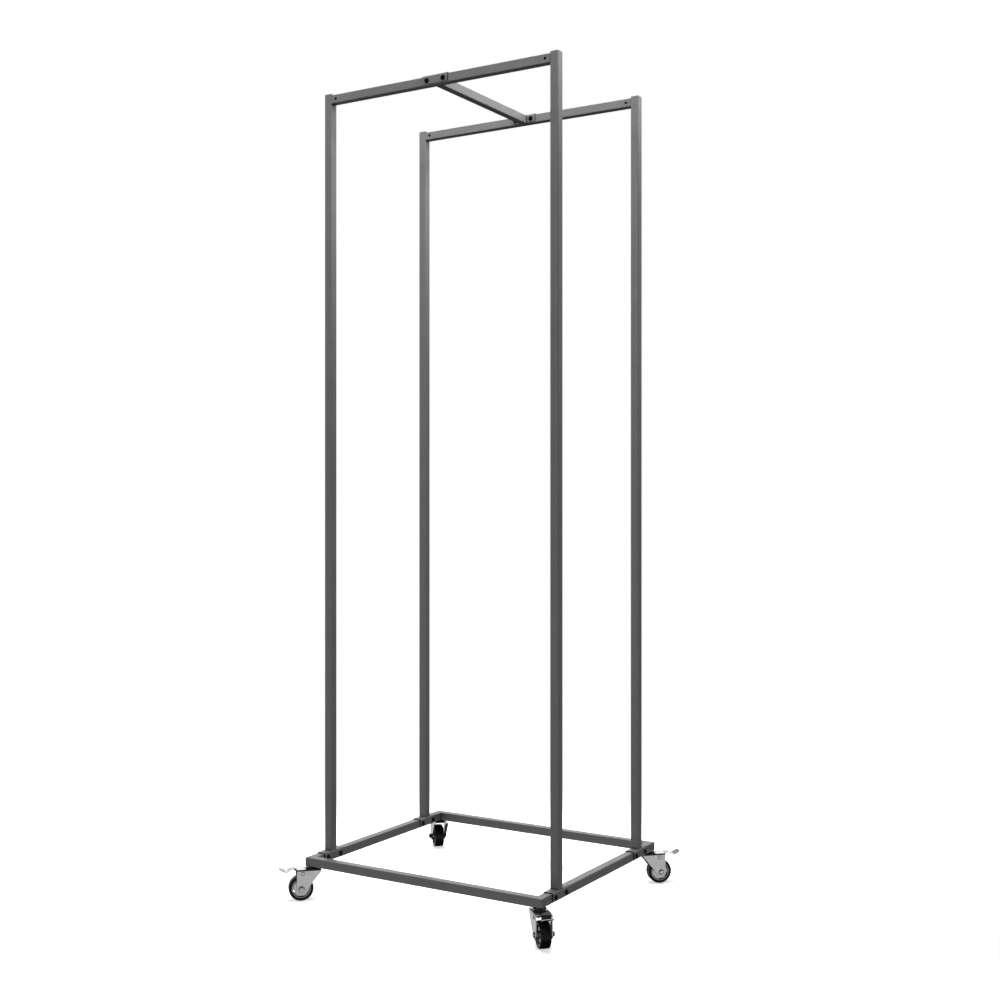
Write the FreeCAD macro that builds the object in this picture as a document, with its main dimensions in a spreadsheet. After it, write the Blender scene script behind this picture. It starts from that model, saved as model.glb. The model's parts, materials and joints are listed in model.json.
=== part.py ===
import FreeCAD, Part
import math
import os
import re
import Sketcher

# Rolling clothes rack: a base frame of square tube on four swivel casters, four uprights bolted to it with
# saddles, two hanging rails between the uprights and a cross strut between the rails.
#
# Frame of reference, in millimetres: X runs along the hanging rails, Y from front to back and Z up. The
# origin is on the floor, under the middle of the rack.

DIMENSIONS = {
    # square tube of the frame
    "tube_size": 19,
    "tube_wall": 1.2,
    "tube_corner": 1.5,
    "tube_inner_corner": 0.5,
    # base frame, over its outer faces
    "base_length": 600,
    "base_depth": 524,
    "base_top": 93,
    # uprights and rails
    "upright_pitch": 370,
    "frame_top": 1791,
    "cap_thick": 2,
    "cap_plug": 10,
    "cap_plug_slack": 0.1,
    "rail_drop": 3,
    # saddles: sheet, length of each kind, corner and how far they stop above the tube's underside
    "saddle_sheet": 2,
    "foot_saddle_length": 68,
    "foot_bolt_pitch": 44,
    "strut_saddle_length": 64,
    "strut_bolt_pitch": 42,
    "saddle_corner": 6,
    "saddle_short": 2,
    # M6 button head screw and its nut
    "bolt_radius": 2.95,
    "bolt_hole": 3.2,
    "bolt_head": 5.3,
    "bolt_head_high": 3.1,
    "bolt_dome": 2.7,
    "bolt_socket": 4,
    "bolt_socket_deep": 2,
    "bolt_past_nut": 2,
    "bolt_tip": 0.5,
    "nut_across": 10,
    "nut_high": 5,
    "nut_bore": 3,
    "nut_turned_off": 0.9,
    # connector block in a rail's end, and its set screw
    "connector_size": 16.2,
    "connector_length": 30,
    "screw_inset": 12,
    "screw_radius": 2.9,
    "screw_length": 8,
    "screw_recess": 0.6,
    "screw_socket": 3,
    "screw_socket_deep": 3,
    # caster: wheel
    "wheel_radius": 27.5,
    "wheel_trail": 23.2,
    "tyre_half_width": 11,
    "tyre_shoulder": 3,
    "tyre_bead": 0.8,
    "hub_radius": 20.8,
    "hub_rim": 19.6,
    "hub_half_width": 10.2,
    "hub_web_half": 7.2,
    "hub_boss": 8,
    "hub_boss_half": 14.6,
    "hub_bore": 4.55,
    "hub_slot_in": 16.6,
    "hub_slot_out": 18.9,
    "hub_slot_angle": 19,
    "hub_slot_corner": 1,
    "hub_fillet": 0.9,
    # caster: fork
    "fork_top": 69.5,
    "fork_sheet": 2,
    "fork_half_width": 18,
    "fork_bend": 3.5,
    "fork_lead": 20,
    "fork_shoulder": 65,
    "fork_end": 10.2,
    "fork_end_flat": 0.01,
    # caster: stem, race cup and balls
    "stem_radius": 6,
    "stem_hole": 6.3,
    "stem_rivet": 8,
    "stem_rivet_high": 1.8,
    "stem_gap": 0.3,
    "stem_collar": 9,
    "stem_thread": 5,
    "stem_thread_length": 16,
    "stem_thread_slack": 0.1,
    "stem_rounding": 0.8,
    "weld_nut_across": 13.8,
    "weld_nut_high": 7,
    "cup_radius": 15.5,
    "cup_high": 3.2,
    "cup_sheet": 0.8,
    "cup_slope": 2.2,
    "cup_bend": 2.4,
    "ball_radius": 1,
    "ball_ring": 11,
    # caster: axle
    "axle_radius": 3,
    "axle_hole": 3.15,
    "axle_head": 5.5,
    "axle_head_high": 3.2,
    "axle_dome": 2.6,
    "axle_slack": 0.05,
    "axle_past_nut": 1,
    "sleeve_radius": 4.5,
    "sleeve_bore": 3.1,
    # caster: the brake pedal's rivet
    "pedal_pin_trail": 20,
    "pedal_pin_height": 61.5,
    "pedal_pin_radius": 2,
    "pedal_pin_bore": 2.05,
    "pedal_pin_head": 3.6,
    "pedal_pin_head_high": 1.6,
    "pedal_pin_dome": 1,
    # caster: brake pedal; places along its strip are distances from the stem's axis
    "pedal_sheet": 1.8,
    "pedal_lug": 3.6,
    "pedal_lug_flat": 0.05,
    "pedal_half_width": 9,
    "pedal_start": 14,
    "pedal_step": 33.8,
    "pedal_hump_start": 39.9,
    "pedal_hump_end": 44.9,
    "pedal_valley_start": 53.4,
    "pedal_valley_end": 57.4,
    "pedal_tip": 72.5,
    "pedal_floor": 64.3,
    "pedal_hump": 70.6,
    "pedal_valley": 64.6,
    "pedal_tip_height": 71.4,
    "pedal_bend": 2,
    # caster: the pedal's outline from above, and its shoe
    "pedal_shoulder": 35.4,
    "pedal_swell": 2.2,
    "pedal_neck": 46.9,
    "pedal_waist": 50.9,
    "pedal_leaf_start": 54.9,
    "pedal_leaf": 12.5,
    "pedal_shoulder_bend": 3,
    "pedal_neck_bend": 4,
    "pedal_leaf_bend": 5,
    "pedal_toe_round": 9.5,
    "pedal_trim": 5,
    "shoe_start": 29.7,
    "shoe_thick": 2,
    "shoe_low": 56.2,
}
BALLS = 16
HUB_SLOTS = 6
WHEEL_TURN = 30  # how far each wheel has rolled on, so that one of its slots is at the bottom
SNAP = 0.01  # how near two heights are to count as one
LEAST_CUT = 0.01  # the volume that a cut has to remove to count as one
CORNERS = {  # corner name: side in X, side in Y, and the direction in which its caster trails
    "front_left": (-1, -1, -135),
    "front_right": (1, -1, -45),
    "back_right": (1, 1, 45),
    "back_left": (-1, 1, 135),
}

X_AXIS = FreeCAD.Vector(1, 0, 0)
Y_AXIS = FreeCAD.Vector(0, 1, 0)
Z_AXIS = FreeCAD.Vector(0, 0, 1)

doc = FreeCAD.newDocument("clothes_rack")
sheet = doc.addObject("Spreadsheet::Sheet", "Dims")
sub_parts = []


# ---- the sheet, and the expressions that read it ----

def fill_sheet():
    """Write the driving dimensions into the sheet, one to a row, each under its own alias."""
    for row, (alias, size) in enumerate(DIMENSIONS.items(), start=1):
        sheet.set(f"A{row}", alias)
        sheet.set(f"B{row}", str(size))
        sheet.setAlias(f"B{row}", alias)
    doc.recompute()


def cells(expression):
    """Turn an expression in alias words into one that a feature can hold."""
    def cell(match):
        word = match.group(0)
        return f"Dims.{word}" if word in DIMENSIONS else word
    return re.sub(r"[a-z]\w*", cell, str(expression))


def number(expression):
    """The value of an expression in alias words."""
    return float(sheet.evalExpression(cells(expression)))


# ---- sketches ----

def new_body(label):
    body = doc.addObject("PartDesign::Body", label)
    body.Label = label
    return body


def new_sketch(body, name, plane, offset=None):
    """A sketch on one of the body's own origin planes, moved along that plane's normal by offset."""
    sketch = body.newObject("Sketcher::SketchObject", f"{body.Label}_{name}")
    support = [item for item in body.Origin.OriginFeatures if item.Role == plane][0]
    sketch.AttachmentSupport = [(support, "")]
    sketch.MapMode = "FlatFace"
    if offset is not None:
        sketch.setExpression("AttachmentOffset.Base.z", cells(offset))
    return sketch


def bind(sketch, kind, geometry, expression):
    """Add a dimension to the sketch and let the sheet drive it."""
    constraint = Sketcher.Constraint(kind, *geometry, number(expression))
    index = sketch.addConstraint(constraint)
    sketch.setExpression(f"Constraints[{index}]", cells(expression))


def pin_point(sketch, geometry, point, x, y):
    """Hold a point of the sketch at x, y from its origin."""
    bind(sketch, "DistanceX", (-1, 1, geometry, point), x)
    bind(sketch, "DistanceY", (-1, 1, geometry, point), y)


def add_circle(sketch, x, y, radius):
    circle = Part.Circle(FreeCAD.Vector(number(x), number(y), 0), Z_AXIS, number(radius))
    index = sketch.addGeometry(circle)
    bind(sketch, "Radius", (index,), radius)
    pin_point(sketch, index, 3, x, y)


def corner_arc(before, at, after, radius):
    """The arc that rounds the corner at, and the points where it meets the sides.

    Returns the arc, the point where the outline arrives at it, the point where it leaves, and whether the
    outline turns left there.
    """
    back = (before - at).normalize()
    on = (after - at).normalize()
    half_turn = back.getAngle(on) / 2
    arrive = at + back * (radius / math.tan(half_turn))
    leave = at + on * (radius / math.tan(half_turn))
    centre = at + (back + on).normalize() * (radius / math.sin(half_turn))
    turns_left = back.cross(on).z < 0
    first, last = (arrive, leave) if turns_left else (leave, arrive)
    from_angle = math.atan2(first.y - centre.y, first.x - centre.x)
    to_angle = math.atan2(last.y - centre.y, last.x - centre.x)
    arc = Part.ArcOfCircle(Part.Circle(centre, Z_AXIS, radius), from_angle, to_angle)
    return arc, arrive, leave, turns_left


def add_outline(sketch, corners):
    """Close a straight-sided outline through corners, each (x, y) or (x, y, radius of its rounding)."""
    points = [FreeCAD.Vector(number(corner[0]), number(corner[1]), 0) for corner in corners]
    count = len(corners)
    rounded = {}
    for here, corner in enumerate(corners):
        if len(corner) == 3:
            rounded[here] = corner_arc(points[here - 1], points[here], points[(here + 1) % count],
                                       number(corner[2]))
    sides = []
    for here in range(count):
        there = (here + 1) % count
        start = rounded[here][2] if here in rounded else points[here]
        end = rounded[there][1] if there in rounded else points[there]
        sides.append(sketch.addGeometry(Part.LineSegment(start, end)))
    for here, corner in enumerate(corners):
        arriving, leaving = sides[here - 1], sides[here]
        if here not in rounded:
            sketch.addConstraint(Sketcher.Constraint("Coincident", arriving, 2, leaving, 1))
            pin_point(sketch, leaving, 1, corner[0], corner[1])
            continue
        arc = sketch.addGeometry(rounded[here][0])
        first, last = (1, 2) if rounded[here][3] else (2, 1)
        sketch.addConstraint(Sketcher.Constraint("Tangent", arriving, 2, arc, first))
        sketch.addConstraint(Sketcher.Constraint("Tangent", arc, last, leaving, 1))
        bind(sketch, "Radius", (arc,), corner[2])
        apex = sketch.addGeometry(Part.Point(points[here]), True)
        sketch.addConstraint(Sketcher.Constraint("PointOnObject", apex, 1, arriving))
        sketch.addConstraint(Sketcher.Constraint("PointOnObject", apex, 1, leaving))
        pin_point(sketch, apex, 1, corner[0], corner[1])


def add_rectangle(sketch, left, right, low, high, radius=None):
    rounding = () if radius is None else (radius,)
    add_outline(sketch, [(left, low, *rounding), (right, low, *rounding),
                         (right, high, *rounding), (left, high, *rounding)])


def add_square(sketch, size, radius=None):
    add_rectangle(sketch, f"-({size}) / 2", f"({size}) / 2", f"-({size}) / 2", f"({size}) / 2", radius)


def add_hexagon(sketch, across):
    """A hexagon about the origin, across its flats, with two corners on the sketch's X."""
    corner = f"{across} / 2 / cos(30)"
    add_outline(sketch, [(f"{corner} * cos({angle})", f"{corner} * sin({angle})")
                         for angle in range(0, 360, 60)])


# ---- features ----

def pad(body, sketch, length, both_ways=False, backwards=False):
    feature = body.newObject("PartDesign::Pad", f"{sketch.Name}_pad")
    feature.Profile = sketch
    feature.setExpression("Length", cells(length))
    feature.SideType = "Symmetric" if both_ways else "One side"
    feature.Reversed = backwards
    return feature


def pocket(body, sketch, length=None, backwards=False):
    """Cut a sketch away: by length on one side of it, or right through the body both ways."""
    feature = body.newObject("PartDesign::Pocket", f"{sketch.Name}_cut")
    feature.Profile = sketch
    if length is None:
        feature.SideType = "Symmetric"
        feature.Type = "ThroughAll"
    else:
        feature.SideType = "One side"
        feature.setExpression("Length", cells(length))
        feature.Reversed = backwards
    return feature


def revolve(body, sketch):
    """Turn a sketch on the XZ plane, whose x is a radius, about the body's Z."""
    feature = body.newObject("PartDesign::Revolution", f"{sketch.Name}_turn")
    feature.Profile = sketch
    feature.ReferenceAxis = (sketch, ["V_Axis"])
    feature.Angle = 360
    return feature


def fillet(body, feature, radius, chosen):
    """Round the edges of a feature that chosen, a function of an edge, picks out."""
    doc.recompute()
    names = [f"Edge{index}" for index, edge in enumerate(feature.Shape.Edges, start=1) if chosen(edge)]
    rounding = body.newObject("PartDesign::Fillet", f"{feature.Name}_fillet")
    rounding.Base = (feature, names)
    rounding.setExpression("Radius", cells(radius))
    return rounding


def runs_along(edge, axis):
    """Is the edge straight and along an axis?"""
    if len(edge.Vertexes) != 2 or edge.Curve.TypeId != "Part::GeomLine":
        return False
    return abs(edge.tangentAt(edge.FirstParameter).dot(axis)) > 0.999


def place(item, x, y, z, rotation=FreeCAD.Rotation()):
    """Put a sub-part at x, y, z, in alias words, after turning it."""
    item.Placement = FreeCAD.Placement(FreeCAD.Vector(), rotation)
    for axis, expression in (("x", x), ("y", y), ("z", z)):
        item.setExpression(f"Placement.Base.{axis}", cells(expression))


def keep(item):
    """Count an object as a sub-part, to be written under its label."""
    sub_parts.append(item)
    return item


def group(label, items):
    """One sub-part of several separate solids, which are other objects of the document."""
    compound = doc.addObject("Part::Compound", label)
    compound.Label = label
    compound.Links = items
    return keep(compound)


def repeat(label, original, places):
    """One sub-part made of copies of an object at several places, each (x, y, z, rotation)."""
    copies = []
    for index, (x, y, z, rotation) in enumerate(places, start=1):
        copy = doc.addObject("App::Link", f"{label}_{index}")
        copy.LinkedObject = original
        copy.LinkTransform = False
        place(copy, x, y, z, rotation)
        copies.append(copy)
    return group(label, copies)


def turned(angle, axis=Z_AXIS):
    return FreeCAD.Rotation(axis, angle)


# ---- the frame ----

def square_tube(body, length, plane):
    """A hollow square tube about the body's origin, padded both ways from a plane."""
    profile = new_sketch(body, "profile", plane)
    add_square(profile, "tube_size", "tube_corner")
    add_square(profile, "tube_size - 2 * tube_wall", "tube_inner_corner")
    return pad(body, profile, length, both_ways=True)


def cross_holes(body, name, places, plane, radius):
    """Round holes right through the body, at places on a plane."""
    sketch = new_sketch(body, name, plane)
    for x, y in places:
        add_circle(sketch, x, y, radius)
    return pocket(body, sketch)


def base_tube(label, length, bolt_places):
    """A side of the base frame along X, its outer face towards -Y and its ends mitred."""
    body = new_body(label)
    square_tube(body, length, "YZ_Plane")
    mitres = new_sketch(body, "mitres", "XY_Plane")
    for side in (-1, 1):
        end, inner = f"{side} * ({length}) / 2", f"{side} * (({length}) / 2 - tube_size)"
        triangle = [(end, "-tube_size / 2"), (end, "tube_size / 2"), (inner, "tube_size / 2")]
        add_outline(mitres, triangle)
    pocket(body, mitres)
    stems = new_sketch(body, "stem_holes", "XY_Plane", "-tube_size / 2")
    for side in (-1, 1):
        add_circle(stems, f"{side} * (({length}) - tube_size) / 2", 0, "stem_thread")
    pocket(body, stems, "tube_wall * 2", backwards=True)
    if bolt_places:
        cross_holes(body, "bolt_holes", [(x, 0) for x in bolt_places], "XZ_Plane", "bolt_hole")
    return keep(body)


def base_frame():
    side_bolts = [f"{end} * upright_pitch / 2 + {bolt} * foot_bolt_pitch / 2" for end in (-1, 1)
                  for bolt in (-1, 1)]
    middle = "base_top - tube_size / 2"
    front = base_tube("base_tube_front", "base_length", [])
    place(front, 0, "-(base_depth - tube_size) / 2", middle)
    back = base_tube("base_tube_back", "base_length", [])
    place(back, 0, "(base_depth - tube_size) / 2", middle, turned(180))
    left = base_tube("base_tube_left", "base_depth", side_bolts)
    place(left, "-(base_length - tube_size) / 2", 0, middle, turned(-90))
    right = base_tube("base_tube_right", "base_depth", side_bolts)
    place(right, "(base_length - tube_size) / 2", 0, middle, turned(90))


def upright(label):
    """An upright standing on its saddle, up to the underside of its cap."""
    body = new_body(label)
    profile = new_sketch(body, "profile", "XY_Plane")
    add_square(profile, "tube_size", "tube_corner")
    add_square(profile, "tube_size - 2 * tube_wall", "tube_inner_corner")
    pad(body, profile, "frame_top - cap_thick - base_top - saddle_sheet")
    return keep(body)


def upright_cap(label):
    """The plate that closes an upright, with a plug that goes down into it."""
    body = new_body(label)
    plate = new_sketch(body, "plate", "XY_Plane")
    add_square(plate, "tube_size", "tube_corner")
    pad(body, plate, "cap_thick")
    plug = new_sketch(body, "plug", "XY_Plane")
    add_square(plug, "tube_size - 2 * tube_wall - cap_plug_slack", "tube_inner_corner")
    pad(body, plug, "cap_plug", backwards=True)
    return keep(body)


def saddle(label, length, bolt_pitch):
    """An inverted U of sheet over a tube along X, with rounded lower corners and two bolt holes."""
    body = new_body(label)
    profile = new_sketch(body, "profile", "YZ_Plane")
    outside, inside = "tube_size / 2 + saddle_sheet", "tube_size / 2"
    low = "saddle_short - tube_size / 2"
    outer_bend, inner_bend = "tube_corner + saddle_sheet", "tube_corner"
    add_outline(profile, [
        (f"-({outside})", low), (f"-({inside})", low), (f"-({inside})", inside, inner_bend),
        (inside, inside, inner_bend), (inside, low), (outside, low),
        (outside, outside, outer_bend), (f"-({outside})", outside, outer_bend),
    ])
    bent = pad(body, profile, length, both_ways=True)
    lowest = number(low)

    def at_lower_corner(edge):
        return runs_along(edge, Y_AXIS) and all(abs(end.Z - lowest) < SNAP for end in edge.Vertexes)

    fillet(body, bent, "saddle_corner", at_lower_corner)
    holes = [(f"{side} * {bolt_pitch} / 2", 0) for side in (-1, 1)]
    cross_holes(body, "bolt_holes", holes, "XZ_Plane", "bolt_hole")
    return keep(body)


def hanging_rail(label):
    """A rail between two uprights, with holes for the strut's saddle and for a set screw at each end."""
    body = new_body(label)
    square_tube(body, "base_length - 2 * tube_size", "YZ_Plane")
    saddle_holes = [(f"{side} * strut_bolt_pitch / 2", 0) for side in (-1, 1)]
    cross_holes(body, "bolt_holes", saddle_holes, "XZ_Plane", "bolt_hole")
    screws = new_sketch(body, "screw_holes", "XZ_Plane", "tube_size / 2")
    for side in (-1, 1):
        add_circle(screws, f"{side} * ((base_length - 2 * tube_size) / 2 - screw_inset)", 0, "bolt_hole")
    pocket(body, screws, "tube_wall * 2")
    return keep(body)


def rail_connector(label):
    """The block inside a rail's end: its welded end at the origin, its length along X."""
    body = new_body(label)
    section = new_sketch(body, "section", "YZ_Plane")
    add_square(section, "connector_size")
    pad(body, section, "connector_length")
    thread = new_sketch(body, "thread", "XZ_Plane", "connector_size / 2")
    add_circle(thread, "screw_inset", 0, "nut_bore")
    pocket(body, thread, "connector_size / 2")
    return body


def set_screw(label):
    """A headless screw along Z, its hexagonal socket at the origin's end, facing +Z."""
    body = new_body(label)
    shank = new_sketch(body, "shank", "XY_Plane")
    add_circle(shank, 0, 0, "screw_radius")
    pad(body, shank, "screw_length", backwards=True)
    socket = new_sketch(body, "socket", "XY_Plane")
    add_hexagon(socket, "screw_socket")
    pocket(body, socket, "screw_socket_deep")
    return body


def button_screw(label):
    """An M6 button head screw along Z, the underside of its head at the origin."""
    body = new_body(label)
    profile = new_sketch(body, "profile", "XZ_Plane")
    shank_end = "-(tube_size + 2 * saddle_sheet + nut_high + bolt_past_nut)"
    add_outline(profile, [
        (0, shank_end), ("bolt_radius", shank_end, "bolt_tip"), ("bolt_radius", 0), ("bolt_head", 0),
        ("bolt_head", "bolt_head_high", "bolt_dome"), (0, "bolt_head_high"),
    ])
    revolve(body, profile)
    socket = new_sketch(body, "socket", "XY_Plane", "bolt_head_high")
    add_hexagon(socket, "bolt_socket")
    pocket(body, socket, "bolt_socket_deep")
    return body


def hexagon_nut(label, across, high, bore):
    """A nut along Z, with its bearing face at the origin and its corners turned off at the far end."""
    body = new_body(label)
    outline = new_sketch(body, "outline", "XY_Plane")
    add_hexagon(outline, across)
    pad(body, outline, high)
    turned_off = new_sketch(body, "turned_off", "XZ_Plane")
    past_corner = f"{across} / 2 / cos(30) + nut_turned_off / 2"
    add_outline(turned_off, [(f"{across} / 2", high), (past_corner, high),
                             (past_corner, f"{high} - nut_turned_off")])
    groove = body.newObject("PartDesign::Groove", f"{label}_groove")
    groove.Profile = turned_off
    groove.ReferenceAxis = (turned_off, ["V_Axis"])
    groove.Angle = 360
    hole = new_sketch(body, "bore", "XY_Plane")
    add_circle(hole, 0, 0, bore)
    pocket(body, hole)
    return body


def frame():
    base_frame()
    side_x, upright_y = "(base_length - tube_size) / 2", "upright_pitch / 2"
    base_middle, rail_middle = "base_top - tube_size / 2", "frame_top - rail_drop - tube_size / 2"
    for name, (side, end, _) in CORNERS.items():
        x, y = f"{side} * {side_x}", f"{end} * {upright_y}"
        place(upright(f"upright_{name}"), x, y, "base_top + saddle_sheet")
        place(upright_cap(f"upright_cap_{name}"), x, y, "frame_top - cap_thick")
        foot = saddle(f"foot_saddle_{name}", "foot_saddle_length", "foot_bolt_pitch")
        place(foot, x, y, base_middle, turned(90))
    for name, end in (("front", -1), ("back", 1)):
        place(hanging_rail(f"hanging_rail_{name}"), 0, f"{end} * {upright_y}", rail_middle)
        over_rail = saddle(f"strut_saddle_{name}", "strut_saddle_length", "strut_bolt_pitch")
        place(over_rail, 0, f"{end} * {upright_y}", rail_middle)
    strut = new_body("cross_strut")
    square_tube(strut, "upright_pitch - tube_size - 2 * saddle_sheet", "YZ_Plane")
    place(keep(strut), 0, 0, rail_middle, turned(90))
    fasteners(side_x, upright_y, base_middle, rail_middle)


def fasteners(side_x, upright_y, base_middle, rail_middle):
    """Screws and nuts of the saddles, and the connectors and set screws of the rails.

    Heads are on the +X side of the feet and on the -Y side of the strut's saddles.
    """
    screws, nuts, connectors, set_screws = [], [], [], []
    stand_off = "(tube_size / 2 + saddle_sheet)"
    along_x, along_minus_y = turned(90, Y_AXIS), turned(90, X_AXIS)
    for side, end, _ in CORNERS.values():
        for bolt in (-1, 1):
            y = f"{end} * {upright_y} + {bolt} * foot_bolt_pitch / 2"
            screws.append((f"{side} * {side_x} + {stand_off}", y, base_middle, along_x))
            nuts.append((f"{side} * {side_x} - {stand_off}", y, base_middle, turned(-90, Y_AXIS)))
        inner_face = f"{side} * (base_length - 2 * tube_size) / 2"
        rail_y = f"{end} * {upright_y}"
        mirror = turned(0) if side < 0 else turned(180, Y_AXIS)
        connectors.append((inner_face, rail_y, rail_middle, mirror))
        screw_x = f"{side} * ((base_length - 2 * tube_size) / 2 - screw_inset)"
        set_screws.append((screw_x, f"{rail_y} - tube_size / 2 + screw_recess", rail_middle, along_minus_y))
    for end in (-1, 1):
        for bolt in (-1, 1):
            x, rail_y = f"{bolt} * strut_bolt_pitch / 2", f"{end} * {upright_y}"
            screws.append((x, f"{rail_y} - {stand_off}", rail_middle, along_minus_y))
            nuts.append((x, f"{rail_y} + {stand_off}", rail_middle, turned(-90, X_AXIS)))
    repeat("frame_screws", button_screw("frame_screw"), screws)
    repeat("frame_nuts", hexagon_nut("frame_nut", "nut_across", "nut_high", "nut_bore"), nuts)
    repeat("rail_connectors", rail_connector("rail_connector"), connectors)
    repeat("rail_set_screws", set_screw("rail_set_screw"), set_screws)


# ---- a caster, with its stem on Z, its wheel trailing towards +X and the floor at Z = 0 ----

TUBE_UNDER = "(base_top - tube_size)"


def stem(label):
    """The pivot that hangs the fork: a riveted foot, the bearing shank, a collar and the thread."""
    body = new_body(label)
    profile = new_sketch(body, "profile", "XZ_Plane")
    rivet_top = "fork_top - fork_sheet - stem_gap"
    rivet_low = f"{rivet_top} - stem_rivet_high"
    cup_top = "fork_top + cup_high"
    thread, thread_top = "stem_thread - stem_thread_slack", f"{TUBE_UNDER} + stem_thread_length"
    add_outline(profile, [
        (0, rivet_low), ("stem_rivet", rivet_low, "stem_rounding"), ("stem_rivet", rivet_top),
        ("stem_radius", rivet_top), ("stem_radius", cup_top), ("stem_collar", cup_top),
        ("stem_collar", TUBE_UNDER), (thread, TUBE_UNDER), (thread, thread_top, "stem_rounding"),
        (0, thread_top),
    ])
    revolve(body, profile)
    return keep(body)


def race_cup(label):
    """The pressed dish over the balls, fixed to the stem."""
    body = new_body(label)
    profile = new_sketch(body, "profile", "XZ_Plane")
    rim_low, top = "fork_top + stem_gap", "fork_top + cup_high"
    under = f"{top} - cup_sheet"
    add_outline(profile, [
        ("stem_radius", under), ("stem_radius", top), ("cup_radius - cup_slope", top, "cup_bend"),
        ("cup_radius", rim_low), ("cup_radius - cup_sheet", rim_low),
        ("cup_radius - cup_slope - cup_sheet", under, "cup_bend - cup_sheet"),
    ])
    revolve(body, profile)
    return keep(body)


def race_ball(label):
    """One ball of the swivel bearing, at its place on the ring's +X side."""
    body = new_body(label)
    profile = new_sketch(body, "profile", "XZ_Plane")
    ball = Part.Circle(FreeCAD.Vector(0, 0, 0), Z_AXIS, number("ball_radius"))
    half = profile.addGeometry(Part.ArcOfCircle(ball, -math.pi / 2, math.pi / 2))
    axis = profile.addGeometry(Part.LineSegment(ball.value(math.pi / 2), ball.value(-math.pi / 2)))
    profile.addConstraint(Sketcher.Constraint("Coincident", half, 2, axis, 1))
    profile.addConstraint(Sketcher.Constraint("Coincident", half, 1, axis, 2))
    profile.addConstraint(Sketcher.Constraint("Coincident", half, 3, -1, 1))
    profile.addConstraint(Sketcher.Constraint("PointOnObject", axis, 1, -2))
    profile.addConstraint(Sketcher.Constraint("PointOnObject", axis, 2, -2))
    bind(profile, "Radius", (half,), "ball_radius")
    revolve(body, profile)
    return body


def fork(label):
    """A folded U of sheet: a top web, and two legs that taper to a rounded end about the axle."""
    body = new_body(label)
    side = new_sketch(body, "side", "XZ_Plane")
    back = "wheel_trail + fork_end"
    foot = "wheel_radius - fork_end"
    # the sloping edge is tangent to the rounded end, so its lower corner follows from where it starts;
    # fork_end_flat keeps a hair of straight edge between the two quarter rounds of that end
    reach_x, reach_z = "(wheel_trail + fork_lead)", "(fork_shoulder - wheel_radius)"
    distance = f"sqrt({reach_x} ^ 2 + {reach_z} ^ 2)"
    slope = f"(atan({reach_z} / {reach_x}) + asin(fork_end / {distance}))"
    toe = f"(fork_shoulder - wheel_radius + fork_end) / tan({slope}) - fork_lead"
    add_outline(side, [
        ("-fork_lead", "fork_shoulder"), (toe, foot, "fork_end - fork_end_flat"),
        (back, foot, "fork_end - fork_end_flat"),
        (back, "fork_top"), ("-fork_lead", "fork_top"),
    ])
    block = pad(body, side, "2 * fork_half_width", both_ways=True)
    top = number("fork_top")

    def at_bend(edge):
        return runs_along(edge, X_AXIS) and all(abs(end.Z - top) < SNAP for end in edge.Vertexes)

    fillet(body, block, "fork_bend", at_bend)
    gap = new_sketch(body, "gap", "YZ_Plane")
    inside = "fork_half_width - fork_sheet"
    under_web = "fork_top - fork_sheet"
    inner_bend = "fork_bend - fork_sheet"
    add_outline(gap, [(f"-({inside})", 0), (inside, 0), (inside, under_web, inner_bend),
                      (f"-({inside})", under_web, inner_bend)])
    pocket(body, gap)
    cross_holes(body, "stem_hole", [(0, 0)], "XY_Plane", "stem_hole")
    cross_holes(body, "axle_holes", [("wheel_trail", "wheel_radius")], "XZ_Plane", "axle_hole")
    cross_holes(body, "pin_holes", [("pedal_pin_trail", "pedal_pin_height")], "XZ_Plane", "pedal_pin_bore")
    return keep(body)


def axle_screw(label):
    """The axle bolt along Z, the underside of its round head at the origin."""
    body = new_body(label)
    profile = new_sketch(body, "profile", "XZ_Plane")
    shank, shank_end = "axle_radius - axle_slack", "-(2 * fork_half_width + nut_high + axle_past_nut)"
    add_outline(profile, [
        (0, shank_end), (shank, shank_end, "bolt_tip"), (shank, 0), ("axle_head", 0),
        ("axle_head", "axle_head_high", "axle_dome"), (0, "axle_head_high"),
    ])
    revolve(body, profile)
    return body


def axle_sleeve(label):
    """The tube between the fork's legs that the wheel turns on."""
    body = new_body(label)
    section = new_sketch(body, "section", "XY_Plane")
    add_circle(section, 0, 0, "sleeve_radius")
    add_circle(section, 0, 0, "sleeve_bore")
    pad(body, section, "2 * (fork_half_width - fork_sheet)", both_ways=True)
    return body


def pedal_rivet(label):
    """The pedal's pivot along Z, with a head outside each leg of the fork."""
    body = new_body(label)
    profile = new_sketch(body, "profile", "XZ_Plane")
    leg, head = "fork_half_width", "fork_half_width + pedal_pin_head_high"
    add_outline(profile, [
        (0, f"-({head})"), ("pedal_pin_head", f"-({head})", "pedal_pin_dome"),
        ("pedal_pin_head", f"-{leg}"),
        ("pedal_pin_radius", f"-{leg}"), ("pedal_pin_radius", leg), ("pedal_pin_head", leg),
        ("pedal_pin_head", head, "pedal_pin_dome"), (0, head),
    ])
    revolve(body, profile)
    return body


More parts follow.
